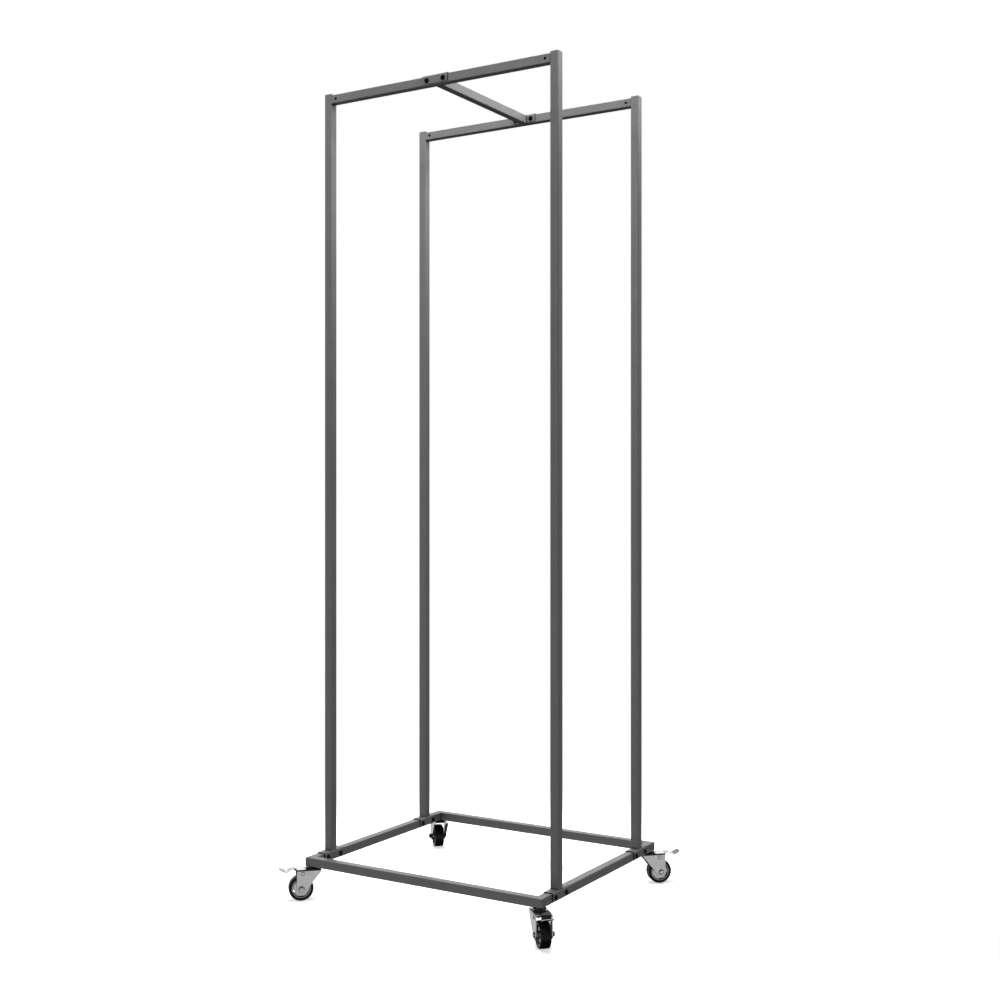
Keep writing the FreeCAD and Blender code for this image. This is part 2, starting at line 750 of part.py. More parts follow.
def hub(label):
    """The wheel's hub about Z: a rim, a web with slots near the rim, and a boss that runs on the sleeve."""
    body = new_body(label)
    profile = new_sketch(body, "profile", "XZ_Plane")
    add_outline(profile, [
        ("hub_bore", "-hub_boss_half"), ("hub_boss", "-hub_boss_half", "hub_fillet"),
        ("hub_boss", "-hub_web_half", "hub_fillet"), ("hub_rim", "-hub_web_half", "hub_fillet"),
        ("hub_rim", "-hub_half_width"), ("hub_radius", "-hub_half_width"), ("hub_radius", "hub_half_width"),
        ("hub_rim", "hub_half_width"), ("hub_rim", "hub_web_half", "hub_fillet"),
        ("hub_boss", "hub_web_half", "hub_fillet"), ("hub_boss", "hub_boss_half", "hub_fillet"),
        ("hub_bore", "hub_boss_half"),
    ])
    revolve(body, profile)
    slots = new_sketch(body, "slot", "XY_Plane")
    reach = "(hub_slot_in + hub_slot_out) / 2 * sin(hub_slot_angle)"
    add_rectangle(slots, "hub_slot_in", "hub_slot_out", f"-({reach})", reach, "hub_slot_corner")
    slot = pocket(body, slots)
    ring = body.newObject("PartDesign::PolarPattern", f"{label}_slots")
    ring.Originals = [slot]
    ring.Axis = (slots, ["N_Axis"])
    ring.Angle = 360
    ring.Occurrences = HUB_SLOTS
    body.Tip = ring
    return keep(body)


def tyre(label):
    body = new_body(label)
    profile = new_sketch(body, "profile", "XZ_Plane")
    add_outline(profile, [
        ("hub_radius", "-tyre_half_width", "tyre_bead"),
        ("wheel_radius", "-tyre_half_width", "tyre_shoulder"),
        ("wheel_radius", "tyre_half_width", "tyre_shoulder"),
        ("hub_radius", "tyre_half_width", "tyre_bead"),
    ])
    revolve(body, profile)
    return keep(body)


def brake_pedal(label):
    """A wavy strip with an oval toe plate outside the fork, two lugs about the rivet and a shoe."""
    body = new_body(label)
    cheek = new_sketch(body, "cheek", "XZ_Plane")
    pin_x, pin_z, lug = "pedal_pin_trail", "pedal_pin_height", "pedal_lug"
    add_outline(cheek, [
        (f"{pin_x} - {lug}", f"{pin_z} - {lug}", f"{lug} - pedal_lug_flat"),
        (f"{pin_x} + {lug}", f"{pin_z} - {lug}", f"{lug} - pedal_lug_flat"),
        (f"{pin_x} + {lug}", "pedal_floor + pedal_sheet / 2"),
        (f"{pin_x} - {lug}", "pedal_floor + pedal_sheet / 2"),
    ])
    pad(body, cheek, "2 * pedal_half_width", both_ways=True)
    between = new_sketch(body, "between", "YZ_Plane")
    inside = "(pedal_half_width - pedal_sheet)"
    add_rectangle(between, f"-{inside}", inside, 0, "pedal_floor")
    pocket(body, between)
    bore = new_sketch(body, "bore", "XZ_Plane")
    add_circle(bore, pin_x, pin_z, "pedal_pin_bore")
    pocket(body, bore)
    strip_of(body)
    shoe = new_sketch(body, "shoe", "XZ_Plane")
    strip_middle = "pedal_floor + pedal_sheet / 2"
    add_rectangle(shoe, "shoe_start", "shoe_start + shoe_thick", "shoe_low", strip_middle)
    pad(body, shoe, "2 * (pedal_half_width - 2 * pedal_sheet)", both_ways=True)
    return keep(body)


def strip_of(body):
    """The pedal's strip: its wavy side view, with all outside its outline from above then cut off."""
    # the middle line of the strip: along under the web, over a hump, down to a valley and up to the toe
    line = [
        ("pedal_start", "pedal_floor + pedal_sheet / 2"), ("pedal_step", "pedal_floor + pedal_sheet / 2"),
        ("pedal_hump_start", "pedal_hump"), ("pedal_hump_end", "pedal_hump"),
        ("pedal_valley_start", "pedal_valley"), ("pedal_valley_end", "pedal_valley"),
        ("pedal_tip", "pedal_tip_height"),
    ]
    side = new_sketch(body, "strip", "XZ_Plane")
    lower = [(x, f"{z} - pedal_sheet / 2", "pedal_bend") for x, z in line]
    upper = [(x, f"{z} + pedal_sheet / 2", "pedal_bend") for x, z in reversed(line)]
    for run in (lower, upper):
        run[0] = run[0][:2]
        run[-1] = run[-1][:2]
    add_outline(side, lower + upper)
    pad(body, side, "2 * pedal_leaf", both_ways=True)
    plan = new_sketch(body, "plan", "XY_Plane")
    narrow, swollen = "-pedal_half_width", "-(pedal_half_width + pedal_swell)"
    right = [
        ("pedal_start", narrow), ("pedal_shoulder", narrow, "pedal_shoulder_bend"),
        ("pedal_shoulder + pedal_shoulder_bend", swollen, "pedal_shoulder_bend"),
        ("pedal_neck", swollen, "pedal_neck_bend"), ("pedal_waist", narrow, "pedal_shoulder_bend"),
        ("pedal_leaf_start", "-pedal_leaf", "pedal_leaf_bend"),
        ("pedal_tip", "-pedal_leaf", "pedal_toe_round"),
    ]
    left = [(corner[0], f"-({corner[1]})", *corner[2:]) for corner in reversed(right)]
    add_outline(plan, right + left)
    add_rectangle(plan, "pedal_start - pedal_trim", "pedal_tip + pedal_trim", "-pedal_leaf - pedal_trim",
                  "pedal_leaf + pedal_trim")
    pocket(body, plan)


def caster(name, side, end, trail_angle):
    """One caster: each piece is placed about the stem's axis and turned to trail outwards."""
    stem_x, stem_y = f"{side} * (base_length - tube_size) / 2", f"{end} * (base_depth - tube_size) / 2"
    yaw = turned(trail_angle)
    on_axle = yaw * turned(-90, X_AXIS)

    def along(distance, across="0"):
        """A point's X and Y from how far it lies along the trail and across it."""
        x = f"{stem_x} + {distance} * cos({trail_angle}) - ({across}) * sin({trail_angle})"
        y = f"{stem_y} + {distance} * sin({trail_angle}) + ({across}) * cos({trail_angle})"
        return x, y

    for piece in (stem(f"caster_stem_{name}"), race_cup(f"race_cup_{name}"), fork(f"caster_fork_{name}"),
                  brake_pedal(f"brake_pedal_{name}")):
        place(piece, stem_x, stem_y, 0, yaw)
    ball_places = []
    for index in range(BALLS):
        angle = 360 / BALLS * index
        ball_places.append((f"{stem_x} + ball_ring * cos({angle})", f"{stem_y} + ball_ring * sin({angle})",
                            "fork_top + cup_high / 2 - cup_sheet / 2", turned(0)))
    repeat(f"race_balls_{name}", race_ball(f"race_ball_{name}"), ball_places)
    for piece in (hub(f"wheel_hub_{name}"), tyre(f"wheel_tyre_{name}")):
        place(piece, *along("wheel_trail"), "wheel_radius", on_axle * turned(WHEEL_TURN))
    bolt, sleeve = axle_screw(f"axle_screw_{name}"), axle_sleeve(f"axle_sleeve_{name}")
    nut = hexagon_nut(f"axle_nut_{name}", "nut_across", "nut_high", "nut_bore")
    rivet = pedal_rivet(f"pedal_rivet_{name}")
    place(bolt, *along("wheel_trail", "-fork_half_width"), "wheel_radius", yaw * turned(90, X_AXIS))
    place(sleeve, *along("wheel_trail"), "wheel_radius", on_axle)
    place(nut, *along("wheel_trail", "fork_half_width"), "wheel_radius", on_axle)
    place(rivet, *along("pedal_pin_trail"), "pedal_pin_height", on_axle)
    group(f"fork_fasteners_{name}", [bolt, sleeve, nut, rivet])


def casters():
    weld_nuts = []
    for name, (side, end, trail_angle) in CORNERS.items():
        caster(name, side, end, trail_angle)
        stem_x, stem_y = f"{side} * (base_length - tube_size) / 2", f"{end} * (base_depth - tube_size) / 2"
        weld_nuts.append((stem_x, stem_y, f"{TUBE_UNDER} + tube_wall", turned(0)))
    nut = hexagon_nut("weld_nut", "weld_nut_across", "weld_nut_high", "stem_thread")
    repeat("stem_weld_nuts", nut, weld_nuts)


# ---- checks and files ----

def check():
    """Stop if a feature failed, a cut removed nothing, or a sub-part isn't whole."""
    faults = []
    for item in doc.Objects:
        if "Invalid" in item.State or "Error" in item.State:
            faults.append(f"{item.Name} is {item.State}")
        elif item.TypeId == "Sketcher::SketchObject" and item.solve() != 0:
            faults.append(f"{item.Name} isn't solved")
        elif item.TypeId in ("PartDesign::Pocket", "PartDesign::Groove"):
            if item.BaseFeature.Shape.Volume - item.Shape.Volume < LEAST_CUT:
                faults.append(f"{item.Name} cuts nothing")
    for part in sub_parts:
        shape = part.Shape
        if shape.isNull() or not shape.isValid() or not shape.Solids:
            faults.append(f"{part.Label} has no sound shape")
    if faults:
        raise RuntimeError("; ".join(faults))


def write():
    os.makedirs("parts", exist_ok=True)
    for part in sub_parts:
        part.Shape.exportStep(os.path.join("parts", f"{part.Label}.step"))


fill_sheet()
frame()
casters()
doc.recompute()
check()
write()
print(f"{len(sub_parts)} sub-parts written")
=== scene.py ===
import json
import math

import bmesh
import bpy
from mathutils import Matrix, Vector


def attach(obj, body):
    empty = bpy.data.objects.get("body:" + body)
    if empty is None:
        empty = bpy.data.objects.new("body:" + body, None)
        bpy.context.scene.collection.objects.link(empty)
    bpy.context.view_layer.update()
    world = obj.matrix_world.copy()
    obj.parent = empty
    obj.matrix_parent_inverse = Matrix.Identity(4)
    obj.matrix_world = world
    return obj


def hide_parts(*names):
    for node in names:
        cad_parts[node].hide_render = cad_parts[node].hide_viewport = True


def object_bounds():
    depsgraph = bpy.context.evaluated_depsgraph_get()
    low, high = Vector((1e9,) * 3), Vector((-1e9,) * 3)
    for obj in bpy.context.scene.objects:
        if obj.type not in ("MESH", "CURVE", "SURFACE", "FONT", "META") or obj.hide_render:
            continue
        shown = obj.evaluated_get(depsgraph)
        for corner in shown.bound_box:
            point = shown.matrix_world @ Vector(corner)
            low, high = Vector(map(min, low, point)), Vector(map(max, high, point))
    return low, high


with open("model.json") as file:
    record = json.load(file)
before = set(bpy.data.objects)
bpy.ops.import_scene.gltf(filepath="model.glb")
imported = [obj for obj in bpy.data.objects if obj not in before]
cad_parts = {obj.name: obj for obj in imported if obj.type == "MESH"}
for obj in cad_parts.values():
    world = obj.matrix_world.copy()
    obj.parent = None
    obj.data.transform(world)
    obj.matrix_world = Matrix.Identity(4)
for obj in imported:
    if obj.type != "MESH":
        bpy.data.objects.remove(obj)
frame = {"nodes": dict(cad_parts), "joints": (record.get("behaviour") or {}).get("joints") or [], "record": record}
cad_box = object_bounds()

MM = 0.001

# ---- camera: level, at the height of a seated viewer, in front of the right-hand corner ----

CAMERA_PLACE = Vector((1.6369, -2.5983, 0.8939))
CAMERA_TURN = math.radians(31.528)
SENSOR = 36.0
LENS = 49.03
FRAMING_SHIFT = -0.00588

# ---- studio: a bright band of backdrop behind the rack, a dimmer front, and darkness over and under it ----

# directions in the level plane that the studio's light is arranged about
BACKDROP_SIDE = (-0.523, 0.852, 0)
DARK_LOBE = (-0.45, 0.89, 0)
DIM_SIDE = (0.55, 0.835, 0)

BACKDROP_GLOW = 2.7
HORIZON_GLOW = 1.1
FRONT_GLOW = 0.93
CEILING_GLOW = 0.03
UNDER_GLOW = 0.03
SIDE_DIM = 0.55  # what is left of the low glow toward DIM_SIDE

# where each fade starts and ends: first by how far a direction leans toward the ones above
BEHIND_FADE = (-0.35, 0.45)
SIDE_FADE = (0.55, 0.85)
LOBE_FADE = (0.84, 0.95)
# and then by its height, from 0 at the horizon to 1 straight up
ABOVE_FADE = (0.0, 0.10)
BELOW_FADE = (-0.36, -0.62)
FRONT_FADE = (0.10, 0.30)
HORIZON_FADE = (0.20, 0.32)
BACKDROP_FADE = (0.30, 0.47)

FLOOR_RADIUS = 40.0
FLOOR_LIT = 0.6
FLOOR_DARK = (0.90, 0.90, 0.90)
FLOOR_LIGHT = (0.93, 0.93, 0.93)
FLOOR_FADE = (0.55, 1.1)  # distances from the middle at which the floor starts to fade and is plain white


def make_camera():
    data = bpy.data.cameras.new("camera")
    data.sensor_width = SENSOR
    data.lens = LENS
    data.shift_y = FRAMING_SHIFT
    data.clip_end = 4 * FLOOR_RADIUS
    camera = bpy.data.objects.new("camera", data)
    camera.location = CAMERA_PLACE
    camera.rotation_euler = (math.radians(90), 0, CAMERA_TURN)
    bpy.context.scene.collection.objects.link(camera)
    bpy.context.scene.camera = camera


class Nodes:
    """A small helper to lay out a node tree."""

    def __init__(self, tree):
        self.tree = tree
        tree.nodes.clear()

    def add(self, kind, inputs=None, **settings):
        node = self.tree.nodes.new(kind)
        for name, setting in settings.items():
            setattr(node, name, setting)
        for name, source in (inputs or {}).items():
            self.feed(node.inputs[name], source)
        return node

    def feed(self, socket, source):
        if isinstance(source, bpy.types.NodeSocket):
            self.tree.links.new(source, socket)
        else:
            socket.default_value = source

    def maths(self, operation, first, second):
        return self.add("ShaderNodeMath", {0: first, 1: second}, operation=operation).outputs[0]

    def leaning(self, direction, toward):
        """How far a direction leans toward another: 1 along it and -1 away from it."""
        inputs = {0: direction, 1: toward}
        return self.add("ShaderNodeVectorMath", inputs, operation="DOT_PRODUCT").outputs["Value"]

    def mix(self, kind, factor, first, second, blend="MIX"):
        """A Mix node of FLOAT or RGBA kind; returns its result."""
        node = self.tree.nodes.new("ShaderNodeMix")
        node.data_type = kind
        if kind == "RGBA":
            node.blend_type = blend
        sockets = {"FLOAT": (2, 3, 0), "RGBA": (6, 7, 2)}[kind]
        self.feed(node.inputs[0], factor)
        self.feed(node.inputs[sockets[0]], first)
        self.feed(node.inputs[sockets[1]], second)
        return node.outputs[sockets[2]]

    def map(self, source, low, high, out_low, out_high, smooth=False):
        """Map the range low..high of a value to out_low..out_high."""
        kind = "SMOOTHSTEP" if smooth else "LINEAR"
        ends = {"Value": source, "From Min": low, "From Max": high, "To Min": out_low, "To Max": out_high}
        return self.add("ShaderNodeMapRange", ends, interpolation_type=kind).outputs["Result"]

    def fade(self, source, ends):
        """A smooth rise from 0 to 1 as a value goes from the first end to the second."""
        return self.map(source, *ends, 0, 1, smooth=True)

    def tones(self, source, low, high, dark, light):
        """A colour that goes from dark to light as a value goes from low to high."""
        return self.mix("RGBA", self.map(source, low, high, 0, 1), (*dark, 1), (*light, 1))

    def tinted(self, tone, grey):
        return self.mix("RGBA", 1.0, tone, grey, "MULTIPLY")


def make_world():
    """Plain white where the camera sees it; as a light, the studio that the values above describe."""
    world = bpy.data.worlds.new("studio")
    bpy.context.scene.world = world
    world.use_nodes = True
    nodes = Nodes(world.node_tree)
    toward = nodes.add("ShaderNodeTexCoord").outputs["Generated"]
    height = nodes.add("ShaderNodeSeparateXYZ", {"Vector": toward}).outputs["Z"]
    behind = nodes.fade(nodes.leaning(toward, BACKDROP_SIDE), BEHIND_FADE)
    lobe = nodes.fade(nodes.leaning(toward, DARK_LOBE), LOBE_FADE)
    beside = nodes.map(nodes.leaning(toward, DIM_SIDE), *SIDE_FADE, 1, SIDE_DIM, smooth=True)
    dark_below = nodes.maths("MAXIMUM", lobe, nodes.fade(height, BELOW_FADE))
    low = nodes.maths("MULTIPLY", nodes.mix("FLOAT", dark_below, FRONT_GLOW, UNDER_GLOW), beside)
    front = nodes.mix("FLOAT", nodes.fade(height, FRONT_FADE), FRONT_GLOW, CEILING_GLOW)
    horizon = nodes.mix("FLOAT", nodes.fade(height, HORIZON_FADE), HORIZON_GLOW, BACKDROP_GLOW)
    back = nodes.mix("FLOAT", nodes.fade(height, BACKDROP_FADE), horizon, CEILING_GLOW)
    high = nodes.mix("FLOAT", behind, front, back)
    glow = nodes.mix("FLOAT", nodes.fade(height, ABOVE_FADE), low, high)
    light = nodes.add("ShaderNodeBackground", {"Strength": glow})
    shown = nodes.add("ShaderNodeBackground", {"Color": (1, 1, 1, 1), "Strength": 1.0})
    path = nodes.add("ShaderNodeLightPath")
    both = nodes.add("ShaderNodeMixShader", {0: path.outputs["Is Camera Ray"], 1: light.outputs[0],
                                             2: shown.outputs[0]})
    nodes.add("ShaderNodeOutputWorld", {"Surface": both.outputs[0]})


def area_light(name, place, target, size, power, spread=180, wide=None, glossy=False, diffuse=True):
    """A disc light, or a strip light if it's given how wide it is."""
    data = bpy.data.lights.new(name, "AREA")
    data.shape = "RECTANGLE" if wide else "DISK"
    data.size = wide or size
    data.size_y = size
    data.energy = power
    data.spread = math.radians(spread)
    light = bpy.data.objects.new(name, data)
    light.location = place
    light.rotation_euler = (Vector(target) - Vector(place)).to_track_quat("-Z", "Y").to_euler()
    light.visible_camera = False
    light.visible_glossy = glossy
    light.visible_diffuse = diffuse
    bpy.context.scene.collection.objects.link(light)


def make_lights(top):
    """Two narrow lights above the top, soft ones overhead and low down, and a glint on the nearest caster."""
    key_level, fill_level = top + 0.25, top + 0.8
    area_light("key", (1.05, 0, key_level), (0, 0, key_level), size=0.15, power=5.5, spread=66, wide=1.0)
    area_light("fill", (-0.2, -3.0, fill_level), (-0.2, 0, fill_level), size=0.8, power=8, spread=62)
    area_light("overhead", (-0.1, 0, top + 1.3), (0, 0, 0), size=1.6, power=150)
    area_light("low_fill", (-0.6, -3.0, 0.6), (0, 0, 0.6), size=2.2, power=19)
    area_light("glint", (0.52, -0.62, 0.39), (0.3, -0.24, 0.1), size=0.14, power=0.25, glossy=True,
               diffuse=False)


def make_floor():
    """A pale floor that takes soft shadows near the rack and runs out into white."""
    mesh = bpy.data.meshes.new("floor")
    corners = [(math.cos(a) * FLOOR_RADIUS, math.sin(a) * FLOOR_RADIUS, 0)
               for a in (math.radians(d) for d in range(0, 360, 5))]
    mesh.from_pydata(corners, [], [list(range(len(corners)))])
    floor = bpy.data.objects.new("floor", mesh)
    floor.visible_diffuse = False
    floor.visible_glossy = False
    bpy.context.scene.collection.objects.link(floor)
    material = bpy.data.materials.new("pale_floor")
    material.use_nodes = True
    nodes = Nodes(material.node_tree)
    place = nodes.add("ShaderNodeTexCoord").outputs["Object"]
    mottle = nodes.add("ShaderNodeTexNoise", {"Vector": place, "Scale": 0.8, "Detail": 3.0})
    tone = nodes.mix("RGBA", mottle.outputs["Fac"], (*FLOOR_DARK, 1), (*FLOOR_LIGHT, 1))
    matt = nodes.add("ShaderNodeBsdfDiffuse", {"Color": tone})
    glow = nodes.add("ShaderNodeEmission", {"Strength": FLOOR_LIT})
    near = nodes.add("ShaderNodeAddShader", {0: matt.outputs[0], 1: glow.outputs[0]})
    far = nodes.add("ShaderNodeEmission", {"Strength": 1.0})
    distance = nodes.add("ShaderNodeVectorMath", {0: place}, operation="LENGTH").outputs["Value"]
    away = nodes.fade(distance, FLOOR_FADE)
    surface = nodes.add("ShaderNodeMixShader", {0: away, 1: near.outputs[0], 2: far.outputs[0]})
    nodes.add("ShaderNodeOutputMaterial", {"Surface": surface.outputs[0]})
    mesh.materials.append(material)


# ---- materials ----

def start_material(name):
    material = bpy.data.materials.new(name)
    material.use_nodes = True
    nodes = Nodes(material.node_tree)
    place = nodes.add("ShaderNodeTexCoord")
    return material, nodes, place.outputs["Object"]


def noise(nodes, place, size, detail=2.0, roughness=0.5):
    """Noise whose features are about size metres across."""
    settings = {"Vector": place, "Scale": 1 / size, "Detail": detail, "Roughness": roughness}
    return nodes.add("ShaderNodeTexNoise", settings).outputs["Fac"]


def edge_mask(nodes, radius):
    """1 on outer edges, 0 on flat faces: how far the rounded normal leans from the true one."""
    softened = nodes.add("ShaderNodeBevel", {"Radius": radius}, samples=4).outputs[0]
    true = nodes.add("ShaderNodeNewGeometry").outputs["Normal"]
    return nodes.map(nodes.leaning(softened, true), 0.995, 0.80, 0, 1)


def painted_crevice_shade(nodes, distance, start, darkest):
    """Painted shade: a grey to multiply a colour with, white in the open and down to darkest in a narrow hollow
    where shade falls.
    """
    openness = nodes.add("ShaderNodeAmbientOcclusion", {"Distance": distance}, samples=6).outputs["AO"]
    grey = nodes.map(openness, start, 0.97, darkest, 1)
    return nodes.add("ShaderNodeCombineColor", {"Red": grey, "Green": grey, "Blue": grey}).outputs[0]


def bumps(nodes, height, strength, depth):
    inputs = {"Height": height, "Strength": strength, "Distance": depth}
    return nodes.add("ShaderNodeBump", inputs).outputs[0]


def finish(material, nodes, inputs):
    """End a material with a Principled shader that has these inputs."""
    surface = nodes.add("ShaderNodeBsdfPrincipled", inputs)
    nodes.add("ShaderNodeOutputMaterial", {"Surface": surface.outputs[0]})
    return material


def powder_coat():
    """Dark grey powder coat: fine orange peel, faint mottling, edges where the coat is thin, and painted shade in
    its joints and hollows.
    """
    material, nodes, place = start_material("powder_coat")
    mottle = noise(nodes, place, 0.06, 4.0)
    grain = noise(nodes, place, 0.0012, 2.0)
    peel = noise(nodes, place, 0.0022, 2.5)
    tone = nodes.tones(mottle, 0.3, 0.7, (0.108, 0.109, 0.111), (0.122, 0.123, 0.125))
    tone = nodes.tinted(tone, nodes.tones(grain, 0.35, 0.75, (0.92, 0.92, 0.92), (1.08, 1.08, 1.08)))
    # painted shade: the coat darkened in joints between parts and in hollows
    tone = nodes.tinted(tone, painted_crevice_shade(nodes, 4 * MM, 0.5, 0.2))
    thin_coat = nodes.map(edge_mask(nodes, 0.5 * MM), 0, 1, 0, 0.25)
    tone = nodes.mix("RGBA", thin_coat, tone, (0.17, 0.17, 0.173, 1))
    gloss = nodes.map(mottle, 0.3, 0.7, 0.30, 0.37)
    bump = bumps(nodes, peel, 0.12, 0.12 * MM)
    return finish(material, nodes, {"Base Color": tone, "Roughness": gloss, "Normal": bump,
                                    "Specular IOR Level": 0.5})


def painted_shade_end():
    """The cut ends of the saddles, which lie in their own shadow: painted shade, near black with a faint mottle.
    """
    material, nodes, place = start_material("painted_shade_end")
    mottle = noise(nodes, place, 0.003, 3.0)
    tone = nodes.mix("RGBA", mottle, (0.012, 0.012, 0.0125, 1), (0.022, 0.022, 0.0225, 1))
    return finish(material, nodes, {"Base Color": tone, "Roughness": 0.6, "Specular IOR Level": 0.25})


def metal(name, dark, light, roughness, grain):
    """Bare or plated metal with a clouded tone, a fine grain, and painted shade in its slots and hollows."""
    material, nodes, place = start_material(name)
    cloud = noise(nodes, place, 0.012, 3.0)
    speckle = noise(nodes, place, grain, 3.0, 0.6)
    tone = nodes.tones(cloud, 0.3, 0.7, dark, light)
    # painted shade: darker in slots and hollows, nearly black in the narrowest
    tone = nodes.tinted(tone, painted_crevice_shade(nodes, 5 * MM, 0.35, 0.03))
    gloss = nodes.map(speckle, 0.3, 0.7, roughness * 0.85, roughness * 1.2)
    bump = bumps(nodes, speckle, 0.08, 0.04 * MM)
    return finish(material, nodes, {"Base Color": tone, "Metallic": 1.0, "Roughness": gloss, "Normal": bump})


def rubber():
    """Black tyre rubber, a little dusty, with a fine moulded grain."""
    material, nodes, place = start_material("tyre_rubber")
    dust = noise(nodes, place, 0.009, 4.0)
    grain = noise(nodes, place, 0.0007, 2.0)
    tone = nodes.tones(dust, 0.45, 0.8, (0.004, 0.004, 0.004), (0.008, 0.008, 0.0078))
    gloss = nodes.map(dust, 0.3, 0.7, 0.34, 0.42)
    bump = bumps(nodes, grain, 0.12, 0.06 * MM)
    return finish(material, nodes, {"Base Color": tone, "Roughness": gloss, "Normal": bump,
                                    "Specular IOR Level": 0.2})


def make_materials():
    return {
        "frame_paint": powder_coat(),
        "black_screw": metal("black_oxide", (0.018, 0.018, 0.019), (0.030, 0.030, 0.031), 0.38, 0.6 * MM),
        "zinc": metal("bright_zinc", (0.50, 0.505, 0.51), (0.56, 0.565, 0.565), 0.15, 0.7 * MM),
        "plain_steel": metal("plain_steel", (0.36, 0.36, 0.36), (0.44, 0.44, 0.44), 0.35, 0.8 * MM),
        "hub": metal("satin_hub", (0.50, 0.50, 0.505), (0.56, 0.56, 0.565), 0.2, 0.6 * MM),
        "tyre": rubber(),
        "painted_shade_end": painted_shade_end(),
    }


def dress_cad(materials):
    """Give each node of the frame the material of its slot in the record."""
    slots = {part["node"]: part["material_slot"] for part in frame["record"]["subparts"]}
    for name, node in frame["nodes"].items():
        node.data.materials.clear()
        node.data.materials.append(materials[slots[name]])


# ---- places read from the frame ----

CORNERS = ("front_left", "front_right", "back_right", "back_left")


def joint(name):
    return next(found for found in frame["joints"] if found["name"] == name)


def caster_place(corner):
    """A caster's own frame: the origin on the floor under its stem, X along its trail and Z up."""
    stem = Vector(joint(f"swivel_{corner}_turn")["pos_m"])
    across = Vector(joint(f"wheel_{corner}_roll")["axis"])
    up = Vector((0, 0, 1))
    turn = Matrix((across.cross(up), across, up)).transposed().to_4x4()
    return Matrix.Translation((stem.x, stem.y, 0)) @ turn


def axle_place(corner):
    """A wheel's own frame: the origin at its middle, Z along the axle and Y down."""
    axle = Vector(joint(f"wheel_{corner}_roll")["pos_m"])
    turn = caster_place(corner).to_3x3().to_4x4() @ Matrix.Rotation(math.radians(-90), 4, "X")
    return Matrix.Translation(axle) @ turn


def reach(node, place):
    """How far a node reaches along each axis of a frame of reference."""
    inverse = place.inverted()
    points = [inverse @ vertex.co for vertex in frame["nodes"][node].data.vertices]
    return Vector([max(point[axis] for point in points) for axis in range(3)])


# ---- mesh making ----

ROUND_STEPS = 6
WHEEL_STEPS = 128


def rounded(corners):
    """The outline through corners, each (x, y, radius of its rounding)."""
    outline = []
    count = len(corners)
    for here, (x, y, radius) in enumerate(corners):
        at = Vector((x, y))
        back = (Vector(corners[here - 1][:2]) - at).normalized()
        on = (Vector(corners[(here + 1) % count][:2]) - at).normalized()
        if radius == 0:
            outline.append(at)
            continue
        half_turn = back.angle(on) / 2
        centre = at + (back + on).normalized() * (radius / math.sin(half_turn))
        arrive = at + back * (radius / math.tan(half_turn)) - centre
        leave = at + on * (radius / math.tan(half_turn)) - centre
        for step in range(ROUND_STEPS + 1):
            share = step / ROUND_STEPS
            outline.append(centre + arrive.lerp(leave, share).normalized() * radius)
    return outline


def link_mesh(name, bm, crease=35):
    """Close a bmesh into an object, smooth apart from edges sharper than crease degrees."""
    bmesh.ops.recalc_face_normals(bm, faces=bm.faces)
    mesh = bpy.data.meshes.new(name)
    bm.to_mesh(mesh)
    bm.free()
    mesh.shade_smooth()
    mesh.set_sharp_from_angle(angle=math.radians(crease))
    piece = bpy.data.objects.new(name, mesh)
    bpy.context.scene.collection.objects.link(piece)
    return piece


def close_ring(bm, rings):
    """Join closed rings of vertices, each to the next and the last to the first, with quads."""
    for here, ring in enumerate(rings):
        following = rings[(here + 1) % len(rings)]
        for index in range(len(ring)):
            after = (index + 1) % len(ring)
            bm.faces.new((ring[index], ring[after], following[after], following[index]))


def lathe(name, outline, place):
    """Turn a closed outline of (radius, height) about the Z of a frame of reference."""
    bm = bmesh.new()
    rings = []
    for step in range(WHEEL_STEPS):
        angle = 2 * math.pi * step / WHEEL_STEPS
        across, along = math.cos(angle), math.sin(angle)
        rings.append([bm.verts.new(place @ Vector((radius * across, radius * along, height)))
                      for radius, height in outline])
    close_ring(bm, rings)
    return link_mesh(name, bm)


def stand_for(piece, node, body, slot, materials):
    """Let a piece take a CAD node's place on its body, with the finish of its slot."""
    piece.data.materials.append(materials[slot])
    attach(piece, body)
    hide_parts(node)


# ---- the wheels ----

TREAD_CROWN = 0.35 * MM
MOULD_LINE = 0.18 * MM
TYRE_SHOULDER = 2.6 * MM
BEAD_ROUND = 0.8 * MM
BAND_INSET = 1.6 * MM  # how far the sidewall's sunk band stays from the shoulder and from the bore
BAND_DEEP = 0.35 * MM


def tyre(corner, materials):
    """A crowned tread with a fine mould line, round shoulders and a band sunk into each sidewall."""
    place, node = axle_place(corner), f"wheel_tyre_{corner}"
    top = reach(node, place)
    outer, half = top.x, top.z
    bore = reach(f"wheel_hub_{corner}", place).x
    edge = outer - TREAD_CROWN
    band_out, band_in = outer - TYRE_SHOULDER - BAND_INSET, bore + BAND_INSET
    right = [
        (outer - 0.10 * MM, MOULD_LINE, 0), (outer - 0.14 * MM, half * 0.35, 0), (edge, half, TYRE_SHOULDER),
        (band_out, half, 0.15 * MM), (band_out - BAND_DEEP, half - BAND_DEEP, 0.3 * MM),
        (band_in + BAND_DEEP, half - BAND_DEEP, 0.3 * MM), (band_in, half, 0.15 * MM),
        (bore, half, BEAD_ROUND),
    ]
    left = [(radius, -height, turn) for radius, height, turn in reversed(right)]
    ridge = [(outer, 0, 0)]
    piece = lathe(f"tyre_{corner}", rounded(ridge + right + left), place)
    stand_for(piece, node, f"wheel_{corner}", "tyre", materials)


HUB_BORE = 4.56 * MM
HUB_BOSS = 8.0 * MM
HUB_RIM_WALL = 1.3 * MM
HUB_SEAT = 6.8 * MM  # half the thickness of the web where the slots are
HUB_SWELL = 7.3 * MM  # half the thickness of the web beside the boss
SLOTS = 6
SLOT_MIDDLE = 17.7 * MM
SLOT_HALF_WIDTH = 1.15 * MM
SLOT_HALF_ANGLE = 16.5
SLOT_STEPS = 10


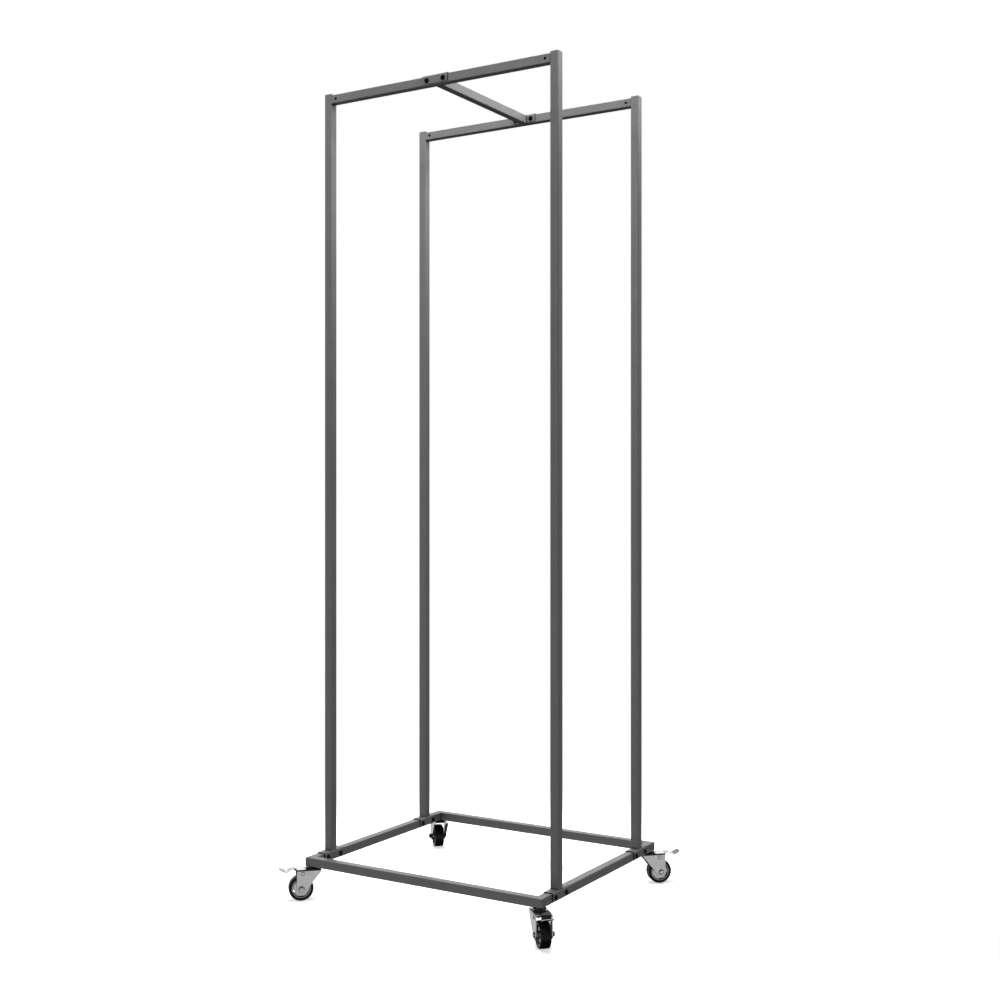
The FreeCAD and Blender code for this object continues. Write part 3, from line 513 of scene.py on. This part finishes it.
def slot_cutter(place):
    """A closed mesh of all the slots: arcs with round ends, longer than the hub is wide."""
    bm = bmesh.new()
    swing = math.radians(SLOT_HALF_ANGLE)
    for slot_number in range(SLOTS):
        middle = 2 * math.pi * (slot_number + 0.5) / SLOTS
        outline = []
        for side in (1, -1):
            radius = SLOT_MIDDLE + side * SLOT_HALF_WIDTH
            for step in range(SLOT_STEPS + 1):
                angle = middle + side * swing * (1 - 2 * step / SLOT_STEPS)
                outline.append(Vector((math.cos(angle), math.sin(angle))) * radius)
            end = middle - side * swing
            centre = Vector((math.cos(end), math.sin(end))) * SLOT_MIDDLE
            for step in range(1, SLOT_STEPS):
                angle = end - side * math.pi * step / SLOT_STEPS + (0 if side > 0 else math.pi)
                outline.append(centre + Vector((math.cos(angle), math.sin(angle))) * SLOT_HALF_WIDTH)
        layers = [[bm.verts.new(place @ Vector((*point, height))) for point in outline]
                  for height in (-2 * HUB_SWELL, 2 * HUB_SWELL)]
        for index in range(len(outline)):
            after = (index + 1) % len(outline)
            bm.faces.new((layers[0][index], layers[0][after], layers[1][after], layers[1][index]))
        bm.faces.new(layers[0])
        bm.faces.new(layers[1])
    return link_mesh("slot_cutter", bm)


def hub(corner, materials):
    """A rim, a slotted web that is a little thicker toward the middle, and a plain boss."""
    place, node = axle_place(corner), f"wheel_hub_{corner}"
    top = reach(node, place)
    rim, boss_half = top.x, top.z
    rim_half = reach(f"wheel_tyre_{corner}", place).z - BEAD_ROUND
    wall = rim - HUB_RIM_WALL
    right = [
        (HUB_BORE, boss_half, 0.3 * MM), (HUB_BOSS, boss_half, 0.8 * MM), (HUB_BOSS, HUB_SWELL, 1.0 * MM),
        (SLOT_MIDDLE - 2.5 * SLOT_HALF_WIDTH, HUB_SEAT + 0.2 * MM, 3 * MM), (wall, HUB_SEAT, 1.1 * MM),
        (wall, rim_half, 0.35 * MM), (rim, rim_half, 0.35 * MM),
    ]
    left = [(radius, -height, turn) for radius, height, turn in reversed(right)]
    piece = lathe(f"hub_{corner}", rounded(right + left), place)
    cutter = slot_cutter(place)
    cut = piece.modifiers.new("slots", "BOOLEAN")
    cut.operation = "DIFFERENCE"
    cut.solver = "EXACT"
    cut.object = cutter
    graph = bpy.context.evaluated_depsgraph_get()
    drilled = bpy.data.meshes.new_from_object(piece.evaluated_get(graph))
    piece.modifiers.clear()
    piece.data = drilled
    drilled.shade_smooth()
    drilled.set_sharp_from_angle(angle=math.radians(35))
    bpy.data.objects.remove(cutter)
    stand_for(piece, node, f"wheel_{corner}", "hub", materials)


# ---- pressed sheet: the CAD shape with its cut edges broken ----

FLAT = math.radians(0.4)
SHARP = math.radians(40)
EDGE_STEPS = 2
SADDLE_EDGE = 0.35 * MM

# for each sheet part of a caster: the piece's name, its body, its slot and the width of its broken edges
SHEET_PIECES = {
    "caster_fork": ("fork", "swivel", "zinc", 0.25 * MM),
    "brake_pedal": ("pedal", "pedal", "zinc", 0.3 * MM),
}


def broken_edges(name, node, width):
    """A copy of a CAD node with flat facets merged and its sharp outer edges rounded off."""
    bm = bmesh.new()
    bm.from_mesh(frame["nodes"][node].data)
    bmesh.ops.remove_doubles(bm, verts=bm.verts, dist=0.001 * MM)
    bmesh.ops.dissolve_limit(bm, angle_limit=FLAT, verts=bm.verts, edges=bm.edges)
    outer = [edge for edge in bm.edges if edge.is_manifold and edge.is_convex
             and edge.calc_face_angle() > SHARP]
    bmesh.ops.bevel(bm, geom=outer, offset=width, offset_type="WIDTH", segments=EDGE_STEPS, profile=0.5,
                    affect="EDGES", clamp_overlap=False)
    piece = link_mesh(name, bm, crease=50)
    flat = piece.modifiers.new("flat_faces", "WEIGHTED_NORMAL")
    flat.weight = 100
    flat.keep_sharp = True
    return piece


def casters(materials):
    for corner in CORNERS:
        tyre(corner, materials)
        hub(corner, materials)
        for part, (name, body, slot, width) in SHEET_PIECES.items():
            node = f"{part}_{corner}"
            piece = broken_edges(f"{name}_{corner}", node, width)
            stand_for(piece, node, f"{body}_{corner}", slot, materials)


def saddles(materials):
    """The saddles in the frame's paint, with the faces at the ends of their length in a near-black painted shade.
    """
    names = [f"foot_saddle_{corner}" for corner in CORNERS] + ["strut_saddle_front", "strut_saddle_back"]
    for node in names:
        piece = broken_edges(f"{node}_sheet", node, SADDLE_EDGE)
        stand_for(piece, node, "frame", "frame_paint", materials)
        piece.data.materials.append(materials["painted_shade_end"])
        length = max(range(3), key=lambda axis: piece.dimensions[axis])
        for face in piece.data.polygons:
            # faces along the length take the near-black painted shade
            face.material_index = int(abs(face.normal[length]) > 0.3)


# ---- the scene ----

bpy.context.scene.view_settings.view_transform = "Standard"
make_camera()
make_world()
make_lights(cad_box[1].z)
make_floor()
materials = make_materials()
dress_cad(materials)
casters(materials)
saddles(materials)
